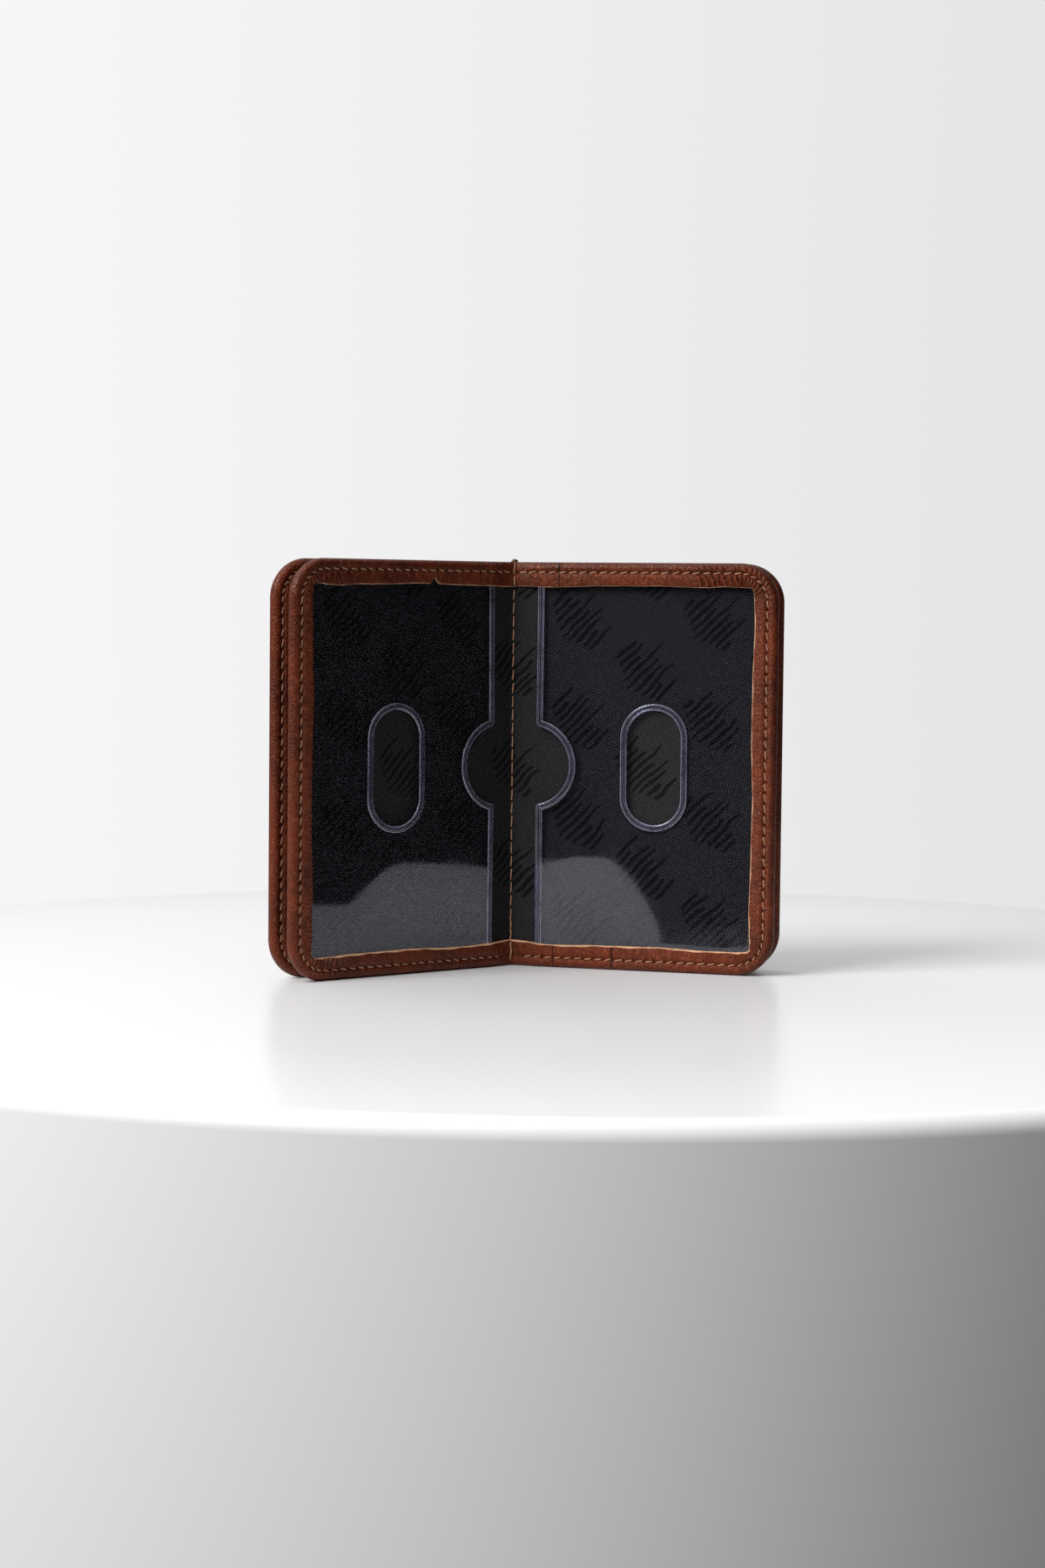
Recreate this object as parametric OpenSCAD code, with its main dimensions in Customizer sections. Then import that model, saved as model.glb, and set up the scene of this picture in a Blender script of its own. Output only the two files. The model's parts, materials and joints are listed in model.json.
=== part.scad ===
// Card-size document wallet: two folded leather books, one nested in the other and
// stitched together through the spine, which gives four leaves. Each leaf is a leather
// cover turned over a lining, a board and a clear card pocket.
//
// Frame: +Z up, millimetres. The origin is on the underside of the spine, and the part
// stands open in a V on its bottom edges with the mouth of the V towards -Y.
// A leaf is drawn flat in its own frame: X runs from the fold line to the free edge,
// Z is up, and Y is the depth behind the leaf's pocket face.

/* [Leaves] */
// Height of a leaf, from the bottom edge to the top edge
leaf_h = 100; // [85:1:140]
// Width of a leaf, from the fold line to the free edge
leaf_w = 66; // [60:1:100]
// Radius of the two corners at the free edge
corner_r = 9.5; // [7:0.5:16]

/* [Open pose] */
// Angle between the two inner leaves
opening_angle = 124; // [100:1:150]
// Angle from the left inner leaf back to the left outer leaf
left_splay = 4.7; // [1:0.1:12]
// Angle from the right inner leaf back to the right outer leaf
right_splay = 8; // [1:0.1:12]
// Widest angle that an outer leaf swings back from its inner leaf
splay_limit = 40; // [20:1:42]

/* [Leather] */
// Thickness of the cover leather
cover_t = 0.7; // [0.5:0.05:1]
// Thickness of the turned-over hem, which is skived thinner
hem_t = 0.65; // [0.5:0.05:0.9]
// Width of the turned-over hem
hem_w = 5.9; // [5:0.1:9]
// Width of the solid leather rim around a leaf's filling
rim_w = 1.6; // [1:0.1:1.8]

/* [Filling] */
// Thickness of the woven lining
lining_t = 0.2; // [0.15:0.05:0.4]
// Thickness of the stiffener board
board_t = 0.45; // [0.3:0.05:1]
// Distance from the fold line to the board
board_start = 9; // [7:0.5:14]
// Gap in which the filling's pieces are laid inside the rim
lay_gap = 0.1; // [0.05:0.05:0.2]

/* [Clear pocket] */
// Thickness of the clear sheet
sheet_t = 0.2; // [0.15:0.05:0.3]
// Space between lining and clear sheet, for one card
card_gap = 0.8; // [0.8:0.05:1.2]
// Distance from the fold line to the mouth of an inner leaf's pocket
mouth_start = 5.7; // [5.7:0.1:9]
// Width of the welded bead around the sheet's openings
bead_w = 1.65; // [1:0.05:2.5]
// Height of the bead above the sheet
bead_h = 0.3; // [0.1:0.05:0.4]
// Radius of the thumb notch
notch_r = 9.7; // [8:0.1:12]
// Depth of the thumb notch, from the pocket's mouth
notch_depth = 8.5; // [5:0.1:9.5]
// Distance from the fold line to the middle of the push-out slot
slot_middle = 35.5; // [33:0.5:38]
// Width of the push-out slot
slot_w = 13.4; // [8:0.1:16]
// Height of the push-out slot
slot_h = 28; // [20:0.5:40]

/* [Thread] */
// Radius of the sewing thread
thread_r = 0.25; // [0.15:0.01:0.3]
// Distance from a leaf's edge to its seam
seam_inset = 2.5; // [2.2:0.1:3]
// How far a thread stands above the leather
thread_proud = 0.1; // [0.05:0.01:0.15]
// Height of the knot above the top edge
knot_proud = 0.8; // [0.4:0.1:1.2]
// Radius of the knot
knot_r = 0.6; // [0.4:0.05:0.8]

/* [Spine] */
// Half width of the stitched spine strip
spine_half = 2.8; // [2.4:0.1:3.2]
// Gap between the spine strip and the start of an inner leaf
fold_gap = 0.4; // [0.4:0.05:0.8]
// Running gap between leaves on different bodies, over their threads
run_gap = 0.3; // [0.3:0.05:0.6]

/* [Hidden] */
$fn = 64;
eps = 0.01;

leather_colour = "#6E3A2B";
thread_colour = "#A98A6C";
lining_colour = "#262527";
board_colour = "#8C7B66";
clear_colour = [0.75, 0.8, 0.92, 0.35];
knot_colour = "#3A2A22";

// A leaf's layers, as depths behind its pocket face
sheet_front = hem_t;
gap_front = sheet_front + sheet_t;
lining_front = gap_front + card_gap;
board_front = lining_front + lining_t;
cover_front = board_front + board_t;
leaf_t = cover_front + cover_t;

// Where the leaves lie, as depths behind the plane through the hinge axis
inner_depth = run_gap / 2 + thread_proud;
outer_depth = inner_depth + leaf_t + run_gap + 2 * thread_proud;
outer_back = outer_depth + leaf_t + thread_proud;
inner_start = spine_half + fold_gap;
// The outer leaves start where their backs stay clear of each other at the splay limit
outer_start = outer_back * tan(splay_limit) + run_gap / (2 * cos(splay_limit));
// An outer leaf's pocket opens no nearer to the fold line than the leaf starts
outer_mouth = max(mouth_start, outer_start + lay_gap);

// The spine's layers, as depths behind the same plane
spine_lining_front = inner_depth + lining_front;
spine_hem_front = spine_lining_front - hem_t;
spine_inner_back = spine_lining_front + lining_t + cover_t;
spine_outer_back = spine_inner_back + lining_t + cover_t;

// Each inner leaf's angle in front of the X axis
fold_angle = 90 - opening_angle / 2;
fold_sin = sin(fold_angle);
fold_cos = cos(fold_angle);

// The hinge axis lies this far in front of the origin, which is in the inner spine leather
hinge_back = (spine_hem_front + spine_inner_back) / (2 * fold_cos);

// The channel that a thread is laid in
channel_w = 2 * thread_r + 0.3;
channel_d = 2 * thread_r - thread_proud;
// The spine's threads stop this far short of the ends
thread_end = 1;
// The fold strips stop this far short of the ends, so that the leaves carry the part
fold_end = 0.4;

// A leaf's outline in its own frame, drawn in by inset from its three free edges
module outline(start, inset) {
    r = corner_r - inset;
    translate([start, inset])
        square([leaf_w - corner_r - start, leaf_h - 2 * inset]);
    translate([start, corner_r])
        square([leaf_w - inset - start, leaf_h - 2 * corner_r]);
    for (z = [corner_r, leaf_h - corner_r])
        translate([leaf_w - corner_r, z])
            circle(r);
}

// A flat layer from a 2D shape, at depths from front to back in a leaf's frame
module layer(front, back) {
    translate([0, back, 0])
        rotate([90, 0, 0])
            linear_extrude(back - front)
                children();
}

// A layer that follows the three free edges between two insets
module edge_band(start, front, back, from, to) {
    layer(front, back)
        difference() {
            outline(start, from);
            outline(start - 1, to);
        }
}

// Puts a leaf, drawn in its own frame, at its place in the open pose
module at_leaf(side, depth, splay) {
    translate([0, -hinge_back, 0])
        mirror([side < 0 ? 1 : 0, 0, 0])
            rotate([0, 0, splay - fold_angle])
                translate([0, depth, 0])
                    children();
}

module at_left_inner() { at_leaf(-1, inner_depth, 0) children(); }
module at_right_inner() { at_leaf(1, inner_depth, 0) children(); }
module at_left_outer() { at_leaf(-1, outer_depth, left_splay) children(); }
module at_right_outer() { at_leaf(1, outer_depth, right_splay) children(); }

// Cover leather: the back panel, the rim and the turned-over hem, with the thread's channels
module leaf_cover(start) {
    color(leather_colour)
        difference() {
            union() {
                layer(cover_front, leaf_t)
                    outline(start, 0);
                edge_band(start, 0, cover_front, 0, rim_w);
                edge_band(start, 0, hem_t, 0, hem_w);
            }
            channel(start, -eps, channel_d);
            channel(start, leaf_t - channel_d, leaf_t + eps);
        }
}

module channel(start, front, back) {
    edge_band(start - 1, front, back, seam_inset - channel_w / 2, seam_inset + channel_w / 2);
}

module leaf_board() {
    color(board_colour)
        layer(board_front, cover_front)
            outline(board_start, rim_w + lay_gap);
}

module leaf_lining(start) {
    color(lining_colour)
        layer(lining_front, board_front)
            outline(start, rim_w + lay_gap);
}

// The thumb notch in the mouth of a pocket, grown by the bead's width or by nothing
module notch(mouth, grow) {
    translate([mouth - notch_r + notch_depth, leaf_h / 2])
        circle(notch_r + grow);
}

// The push-out slot in the middle of a pocket, with round ends
module slot(grow) {
    straight = slot_h - slot_w;
    translate([slot_middle - slot_w / 2 - grow, (leaf_h - straight) / 2])
        square([slot_w + 2 * grow, straight]);
    for (end = [-1, 1])
        translate([slot_middle, (leaf_h + end * straight) / 2])
            circle(slot_w / 2 + grow);
}

// The clear sheet is open towards the spine, and its other edges lie under the hem
module leaf_pocket(mouth) {
    bead_end = hem_w + lay_gap;
    color(clear_colour)
        difference() {
            union() {
                layer(sheet_front, gap_front)
                    outline(mouth, rim_w + lay_gap);
                layer(sheet_front - bead_h, sheet_front)
                    union() {
                        translate([mouth, bead_end])
                            square([bead_w, leaf_h - 2 * bead_end]);
                        intersection() {
                            notch(mouth, bead_w);
                            translate([mouth, 0])
                                square([leaf_w, leaf_h]);
                        }
                        slot(bead_w);
                    }
            }
            layer(sheet_front - bead_h - eps, gap_front + eps) {
                notch(mouth, 0);
                slot(0);
            }
        }
}

// One row of a leaf's seam: a thread round the three free edges at one depth
module seam_row(start, depth) {
    far = leaf_w - corner_r;
    turn_r = corner_r - seam_inset;
    for (z = [seam_inset, leaf_h - seam_inset])
        translate([start, depth, z])
            rotate([0, 90, 0])
                cylinder(r = thread_r, h = far - start);
    translate([leaf_w - seam_inset, depth, corner_r])
        cylinder(r = thread_r, h = leaf_h - 2 * corner_r);
    for (corner = [[corner_r, -90], [leaf_h - corner_r, 0]])
        translate([far, depth, corner[0]])
            rotate([90, 0, 0])
                rotate([0, 0, corner[1]])
                    rotate_extrude(angle = 90)
                        translate([turn_r, 0])
                            circle(thread_r);
}

module leaf_seam(start) {
    sunk = thread_r - thread_proud;
    color(thread_colour) {
        seam_row(start, sunk);
        seam_row(start, leaf_t - sunk);
    }
}

// A point in plan, from the distance along a leaf that is turned to an angle, and its depth
function plan(angle, along, depth) =
    [along * cos(angle) + depth * sin(angle), depth * cos(angle) - along * sin(angle)];

// A point in plan on the side of the spine strip, at one of its depths
function spine_side(depth) = [spine_half, (depth - spine_half * fold_sin) / fold_cos];

// Stands a plan outline up, from one height to another, on the left or the right
module stand(side, low, high) {
    translate([0, -hinge_back, low])
        mirror([side < 0 ? 1 : 0, 0, 0])
            linear_extrude(high - low)
                children();
}

// Soft strip between the spine's side and a leaf, thicker where the hem crosses the fold
module fold_strip(side, splay, start, depth, spine_front, spine_hem, spine_back) {
    angle = fold_angle - splay;
    back = plan(angle, start, depth + leaf_t);
    color(leather_colour) {
        stand(side, fold_end, leaf_h - fold_end)
            polygon([
                spine_side(spine_front), plan(angle, start, depth + lining_front),
                back, spine_side(spine_back),
            ]);
        for (low = [fold_end, leaf_h - hem_w])
            stand(side, low, low + hem_w - fold_end)
                polygon([
                    spine_side(spine_hem), plan(angle, start, depth),
                    back, spine_side(spine_back),
                ]);
    }
}

module inner_fold(side) {
    fold_strip(side, 0, inner_start, inner_depth,
        spine_lining_front, spine_hem_front, spine_inner_back);
}

module outer_fold(side, splay) {
    fold_strip(side, splay, outer_start, outer_depth,
        spine_inner_back, spine_inner_back, spine_outer_back);
}

// A strip of the spine between two depths: a V in plan, at the leaves' angle
module spine_strip(front, back, low, high) {
    right = [spine_side(front), spine_side(back)];
    translate([0, -hinge_back, low])
        linear_extrude(high - low)
            polygon([
                [0, front / fold_cos], right[0], right[1],
                [0, back / fold_cos], [-right[1][0], right[1][1]], [-right[0][0], right[0][1]],
            ]);
}

// The inner book's leather at the spine, turned over its lining at both ends
module spine_inner_leather() {
    color(leather_colour)
        difference() {
            spine_strip(spine_hem_front, spine_inner_back, 0, leaf_h);
            spine_strip(spine_hem_front - 1, spine_lining_front, hem_w, leaf_h - hem_w);
            spine_strip(spine_lining_front - eps, spine_lining_front + lining_t,
                rim_w, leaf_h - rim_w);
        }
}

module spine_inner_lining() {
    color(lining_colour)
        spine_strip(spine_lining_front, spine_lining_front + lining_t, rim_w, leaf_h - rim_w);
}

// The outer book's leather at the spine, with a channel for the thread down its ridge
module spine_outer_leather() {
    color(leather_colour)
        difference() {
            spine_strip(spine_inner_back, spine_outer_back, 0, leaf_h);
            spine_strip(spine_inner_back - 1, spine_inner_back + lining_t,
                rim_w, leaf_h - rim_w);
            translate([-channel_w / 2, spine_ridge - channel_d, -1])
                cube([channel_w, 2 * channel_d, leaf_h + 2]);
        }
}

spine_ridge = spine_outer_back / fold_cos - hinge_back;

module spine_outer_lining() {
    color(lining_colour)
        spine_strip(spine_inner_back, spine_inner_back + lining_t, rim_w, leaf_h - rim_w);
}

// A vertical thread on the front of the spine, touching the strip at the depth it lies on
module spine_front_thread(x, lies_on, low, high) {
    y = (lies_on - thread_r - abs(x) * fold_sin) / fold_cos - hinge_back;
    translate([x, y, low])
        cylinder(r = thread_r, h = high - low);
}

module spine_thread() {
    color(thread_colour) {
        spine_front_thread(0, spine_hem_front, thread_end, hem_w);
        spine_front_thread(0, spine_lining_front, hem_w, leaf_h - hem_w);
        spine_front_thread(0, spine_hem_front, leaf_h - hem_w, leaf_h - thread_end);
        translate([0, spine_ridge - channel_d + thread_r, thread_end])
            cylinder(r = thread_r, h = leaf_h - 2 * thread_end);
    }
}

// Doubled stitches at the bottom end, beside the spine's thread
module spine_backtack() {
    color(thread_colour)
        spine_front_thread(3 * thread_r, spine_hem_front, thread_end, hem_w);
}

// The thread's melted end, on the top edge of the spine
module spine_knot() {
    color(knot_colour)
        difference() {
            translate([0, 0, leaf_h + knot_proud - knot_r])
                sphere(knot_r);
            translate([-knot_r, -knot_r, leaf_h - 2 * knot_r])
                cube(2 * knot_r);
        }
}

module left_inner_cover() { at_left_inner() leaf_cover(inner_start); }
module left_inner_board() { at_left_inner() leaf_board(); }
module left_inner_lining() { at_left_inner() leaf_lining(inner_start); }
module left_inner_pocket() { at_left_inner() leaf_pocket(mouth_start); }
module left_inner_seam() { at_left_inner() leaf_seam(inner_start); }
module left_inner_fold() { inner_fold(-1); }

module right_inner_cover() { at_right_inner() leaf_cover(inner_start); }
module right_inner_board() { at_right_inner() leaf_board(); }
module right_inner_lining() { at_right_inner() leaf_lining(inner_start); }
module right_inner_pocket() { at_right_inner() leaf_pocket(mouth_start); }
module right_inner_seam() { at_right_inner() leaf_seam(inner_start); }
module right_inner_fold() { inner_fold(1); }

module left_outer_cover() { at_left_outer() leaf_cover(outer_start); }
module left_outer_board() { at_left_outer() leaf_board(); }
module left_outer_lining() { at_left_outer() leaf_lining(outer_start); }
module left_outer_pocket() { at_left_outer() leaf_pocket(outer_mouth); }
module left_outer_seam() { at_left_outer() leaf_seam(outer_start); }
module left_outer_fold() { outer_fold(-1, left_splay); }

module right_outer_cover() { at_right_outer() leaf_cover(outer_start); }
module right_outer_board() { at_right_outer() leaf_board(); }
module right_outer_lining() { at_right_outer() leaf_lining(outer_start); }
module right_outer_pocket() { at_right_outer() leaf_pocket(outer_mouth); }
module right_outer_seam() { at_right_outer() leaf_seam(outer_start); }
module right_outer_fold() { outer_fold(1, right_splay); }

spine_inner_leather();
spine_inner_lining();
spine_outer_leather();
spine_outer_lining();
spine_thread();
spine_backtack();
spine_knot();
left_inner_cover();
left_inner_board();
left_inner_lining();
left_inner_pocket();
left_inner_seam();
left_inner_fold();
right_inner_cover();
right_inner_board();
right_inner_lining();
right_inner_pocket();
right_inner_seam();
right_inner_fold();
left_outer_cover();
left_outer_board();
left_outer_lining();
left_outer_pocket();
left_outer_seam();
left_outer_fold();
right_outer_cover();
right_outer_board();
right_outer_lining();
right_outer_pocket();
right_outer_seam();
right_outer_fold();
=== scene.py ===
"""A card-size document wallet, standing open in a V on a pale plinth.

Two folded leather books are nested and sewn together through the spine, which gives four
leaves. The shape functions work in millimetres in a leaf's own frame: "along" runs from the
fold line to the free edge, "height" is up, and "depth" is measured behind the plane through
the hinge axis. Inside a leaf, "deep" is the depth behind its pocket face, and "inset" is the
distance in from its nearest free edge. Negative values of along stand for the round of the
spine, from -1 at its middle to 0 where the flat of the leaf begins.
"""
import json
import math

import bpy
import numpy as np
from mathutils import Matrix, Vector


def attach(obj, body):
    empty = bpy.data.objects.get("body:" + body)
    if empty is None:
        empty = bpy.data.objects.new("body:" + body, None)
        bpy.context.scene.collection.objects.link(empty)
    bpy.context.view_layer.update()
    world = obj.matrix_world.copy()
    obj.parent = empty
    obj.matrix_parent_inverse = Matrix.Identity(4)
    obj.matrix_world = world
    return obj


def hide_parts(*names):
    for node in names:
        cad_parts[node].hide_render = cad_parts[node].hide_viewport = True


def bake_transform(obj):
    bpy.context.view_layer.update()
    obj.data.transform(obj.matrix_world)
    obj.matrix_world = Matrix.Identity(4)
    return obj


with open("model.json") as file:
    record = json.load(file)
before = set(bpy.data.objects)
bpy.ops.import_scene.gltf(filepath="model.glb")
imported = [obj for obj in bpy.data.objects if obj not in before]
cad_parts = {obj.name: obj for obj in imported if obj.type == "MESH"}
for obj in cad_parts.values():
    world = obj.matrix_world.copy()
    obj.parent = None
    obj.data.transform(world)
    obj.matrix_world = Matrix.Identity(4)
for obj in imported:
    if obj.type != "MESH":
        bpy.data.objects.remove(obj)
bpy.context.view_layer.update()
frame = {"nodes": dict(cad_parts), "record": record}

# ---------------------------------------------------------------- sizes, in millimetres

MM = 0.001
# A full turn, in radians
TURN = 2 * math.pi
# Millimetres in one unit of a piece's flat map
FLAT_UNIT = 100.0
JOINTS = {joint["name"]: joint for joint in frame["record"]["behaviour"]["joints"]}
HINGE_Y = JOINTS["right_fold"]["pos_m"][1] / MM
FOLD_ANGLE = math.pi / 2 + math.radians(JOINTS["right_fold"]["range_deg"][0])
SPLAY = {
    "left": math.radians(-JOINTS["left_splay"]["range_deg"][0]),
    "right": math.radians(-JOINTS["right_splay"]["range_deg"][0]),
}

# A leaf: its outline, its thickness and the turned hem with its seam
LEAF_H = 100.0
LEAF_W = 66.0
CORNER_R = 9.5
LEAF_T = 3.0
HEM_W = 5.9
HEM_T = 0.6
RIM_R = 1.3
SEAM_INSET = 2.5
SEAM_SINK = 0.3
# Width of the pale cut edge that shows along the hem
BEVEL = 0.34
# From this inset on, the back is one flat panel, whose own place on the flat map is this
BACK_INSET = 8.0
PANEL_INSET = -20.0

# Across the hem: the nick, the joints and the creases in it, as distances along from the fold line;
# the creases are painted as dark lines of shade
TOP_NICK = 24.6
TOP_CREASE = {"left": 11.4, "right": 12.2}
BOTTOM_JOINT = 25.6
BOTTOM_CREASE = 10.5

# How far each book's pocket face lies behind the plane through the hinge axis
INNER_DEPTH = 0.25
OUTER_DEPTH = 3.75
# The depths of each book's pocket face and back where the books are sewn together
INNER_SPINE = (1.25, 2.74)
OUTER_SPINE = (2.84, 3.7)
# Along a leaf, where its thickness starts to grow and where it is full
SWELL = (0.5, 7.5)
# Along a leaf, where the leather bends with the fold, and with the outer leaf's splay
FOLD_END = 3.2
SPLAY_END = 6.0

# Lining cloth and clear pocket sheet: how deep they lie and how far inside the rim
LINING_DEEP = 1.65
LINING_INSET = 1.7
LINING_T = 0.12
SHEET_DEEP = 0.72
SHEET_INSET = 1.8
SHEET_T = 0.2
# The share of light that clear vinyl reflects straight on
STRAIGHT_ON = 0.048
# How far the sheet bulges forwards next to the spine, and from where along it is pressed in
BULGE = {"left_inner": 0.36, "right_inner": 0.6, "left_outer": 0.25, "right_outer": 0.3}
PRESSED_FROM = {"left": 33.0, "right": 22.0}
PRESSED = 0.6

# The pocket's mouth with its thumb notch, the push-out slot, and the welded bead
MOUTH = 5.7
OUTER_MOUTH = 6.1
NOTCH_R = 9.7
NOTCH_DEPTH = 8.5
SLOT_MIDDLE = 35.5
SLOT_W = 13.4
SLOT_H = 28.0
BEAD_W = 1.65
BEAD_H = 0.36

# Thread
THREAD_R = 0.17
STITCH_PITCH = 2.6
STITCH_LENGTH = 1.85
SPINE_PITCH = 3.3
STITCH_RINGS = 9
STITCH_SIDES = 8
# What one turn round a stitch counts as on its flat map
THREAD_TURN = 50.0

# ---------------------------------------------------------------- colours and studio

# LEATHER_DARK is also the painted shade on the rounded rim and in the pleats' valleys, and
# LEATHER_LIGHT the painted highlight on the pleats' crests.
LEATHER_DARK = (0.052, 0.0068, 0.0018, 1)
LEATHER_MID = (0.145, 0.0215, 0.0055, 1)
LEATHER_LIGHT = (0.29, 0.062, 0.02, 1)
# The thread's painted shade and painted highlight, which its plies are painted between; the shade
# colour also darkens worn places
THREAD_SHADE_AND_WEAR = (0.2, 0.075, 0.035, 1)
THREAD_HIGHLIGHT = (0.64, 0.33, 0.18, 1)

# In metres: the plinth's middle, its top's radius and its edge's, and how far its side goes down
PLINTH_AT = (0.0139, -0.0109)
PLINTH_R = 0.222
PLINTH_EDGE_R = 0.004
PLINTH_DROP = 0.6

CAMERA_AT = (-0.1408, -0.742, 0.0889)
CAMERA_BEARING = (0.190, 0.982, 0)
CAMERA_PITCH = math.radians(3.32)
CAMERA_ROLL = math.radians(0.58)
LENS = 70.0

# How bright the sky is from above, from behind to the left, low at the back, and elsewhere
SKY_ABOVE = 0.85
SKY_BEHIND = 0.2
SKY_BACKDROP = 0.5
SKY_FLOOR = 0.012


def smooth(t):
    """Smoothstep: 0 below 0, 1 above 1, and 3t^2 - 2t^3 in between."""
    t = np.clip(t, 0, 1)
    return t * t * (3 - 2 * t)


def bell(x, middle, width):
    """A bell curve of height 1: e to the power of minus the square of (x - middle) / width."""
    return np.exp(-(((x - middle) / width) ** 2))


# ---------------------------------------------------------------- a leaf's place


class Leaf:
    """One of the four leaves: which side and book it is in, and how its frame is turned."""

    def __init__(self, hand, book):
        self.hand = hand
        self.name = f"{hand}_{book}"
        self.inner_body = f"{hand}_inner"
        self.side = -1 if hand == "left" else 1
        self.outer = book == "outer"
        self.angle = FOLD_ANGLE - (SPLAY[hand] if self.outer else 0)
        self.full = OUTER_DEPTH if self.outer else INNER_DEPTH
        self.spine = OUTER_SPINE if self.outer else INNER_SPINE

    def swell(self, along):
        """0 at the sewn spine and 1 where the leaf has its full thickness."""
        return smooth((along - SWELL[0]) / (SWELL[1] - SWELL[0]))

    def depth(self, along, deep):
        """Depth of a point that lies deep behind the pocket face: its share of the thickness,
        which grows from the spine's to the leaf's."""
        grown = self.swell(along)
        front = self.spine[0] + (self.full - self.spine[0]) * grown
        back = self.spine[1] + (self.full + LEAF_T - self.spine[1]) * grown
        return front + (back - front) * deep / LEAF_T

    def place(self, along, depth, height):
        """Row-frame point in metres. Past the fold line a point lies on the leaf, turned by
        the leaf's angle; before it, on an arc about the hinge whose radius is its depth."""
        c, s = math.cos(self.angle), math.sin(self.angle)
        turn = self.angle * (1 + np.minimum(along, 0))
        flat = np.maximum(along, 0)
        x = np.where(along >= 0, flat * c + depth * s, depth * np.sin(turn))
        y = np.where(along >= 0, depth * c - flat * s, depth * np.cos(turn))
        return np.stack([self.side * x, y + HINGE_Y, height + 0 * x], axis=-1) * MM

    def point(self, along, depth=0.0, height=0.0):
        """One row-frame point, in metres."""
        return Vector(self.place(np.array(float(along)), depth, height).tolist())


LEAVES = [Leaf(hand, book) for book in ("inner", "outer") for hand in ("left", "right")]

# ---------------------------------------------------------------- meshes


def grid_quads(rows, columns, around=False):
    """Corner numbers of the quads of a grid of points, numbered row by row; around joins the
    last column to the first."""
    at = np.arange(rows * columns).reshape(rows, columns)
    if around:
        at = np.concatenate([at, at[:, :1]], axis=1)
    return np.stack([at[:-1, :-1], at[1:, :-1], at[1:, 1:], at[:-1, 1:]], axis=-1).reshape(-1, 4)


def flat_map(first, second):
    """Two lengths in millimetres as a UV map whose unit is 100 mm."""
    return np.stack([first, second], axis=-1) / FLAT_UNIT


def add_piece(name, points, quads, flat, finishes, mirrored=False, choice=None):
    """A mesh object of the points, in metres, with flat as its UV map and smooth faces."""
    if mirrored:
        quads = quads[:, ::-1]
    mesh = bpy.data.meshes.new(name)
    mesh.from_pydata(points.reshape(-1, 3).tolist(), [], quads.tolist())
    mesh.polygons.foreach_set("use_smooth", np.ones(len(quads), dtype=bool))
    corner = np.empty(len(mesh.loops), dtype=np.int32)
    mesh.loops.foreach_get("vertex_index", corner)
    layer = mesh.uv_layers.new(name="Flat")
    layer.data.foreach_set("uv", flat.reshape(-1, 2)[corner].astype(np.float32).ravel())
    for finish in finishes:
        mesh.materials.append(finish)
    if choice is not None:
        mesh.polygons.foreach_set("material_index", choice.astype(np.int32))
    mesh.update()
    piece = bpy.data.objects.new(name, mesh)
    bpy.context.scene.collection.objects.link(piece)
    return piece


def joined(lots):
    """Several lots of points, quads and flat map as one."""
    firsts = np.cumsum([0] + [len(lot[0]) for lot in lots[:-1]])
    quads = np.concatenate([lot[1] + first for lot, first in zip(lots, firsts)])
    return np.concatenate([lot[0] for lot in lots]), quads, np.concatenate([lot[2] for lot in lots])


def thicken(piece, thickness, rim_finish=0, inside_finish=0):
    """Gives a surface its wall, inwards from its outer face."""
    wall = piece.modifiers.new("wall", "SOLIDIFY")
    wall.thickness = thickness * MM
    wall.offset = -1
    wall.use_rim = True
    wall.material_offset = inside_finish
    wall.material_offset_rim = rim_finish
    return piece


# ---------------------------------------------------------------- a leaf's edge


def edge_path(step, start=-1.0):
    """The outline from the spine's bottom round the free edge to the spine's top: along,
    height, outward normal and the length run so far. Straight, quarter circle, straight,
    quarter circle, straight."""
    far, tall = LEAF_W - CORNER_R, LEAF_H - 2 * CORNER_R

    def count(length):
        """How many steps a stretch of this length takes."""
        return max(2, int(round(length / step)))

    low = np.linspace(start, far, count(far - start) + 1)[:-1]
    turn = np.linspace(0, math.pi / 2, count(CORNER_R * math.pi / 2) + 1)[:-1]
    up = np.linspace(0, tall, count(tall) + 1)[:-1]
    zeros, ones = np.zeros_like, np.ones_like
    along = np.concatenate([
        low, far + CORNER_R * np.sin(turn), LEAF_W * ones(up),
        far + CORNER_R * np.cos(turn), far - (low - start), [start],
    ])
    height = np.concatenate([
        zeros(low), CORNER_R * (1 - np.cos(turn)), CORNER_R + up,
        LEAF_H - CORNER_R * (1 - np.sin(turn)), LEAF_H * ones(low), [LEAF_H],
    ])
    out_along = np.concatenate([
        zeros(low), np.sin(turn), ones(up), np.cos(turn), zeros(low), [0.0],
    ])
    out_height = np.concatenate([
        -ones(low), -np.cos(turn), zeros(up), np.sin(turn), ones(low), [1.0],
    ])
    run = np.concatenate([[0], np.cumsum(np.hypot(np.diff(along), np.diff(height)))])
    return along, height, out_along, out_height, run + start


def corner_weight(along, height):
    """1 in the two rounded corners of a leaf, falling off over a few millimetres."""
    down = np.minimum(height, LEAF_H - height)
    reach = np.hypot(np.maximum(LEAF_W - along, 0) - 4, down - 4)
    return 1 - smooth((reach - 4) / 8)


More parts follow.
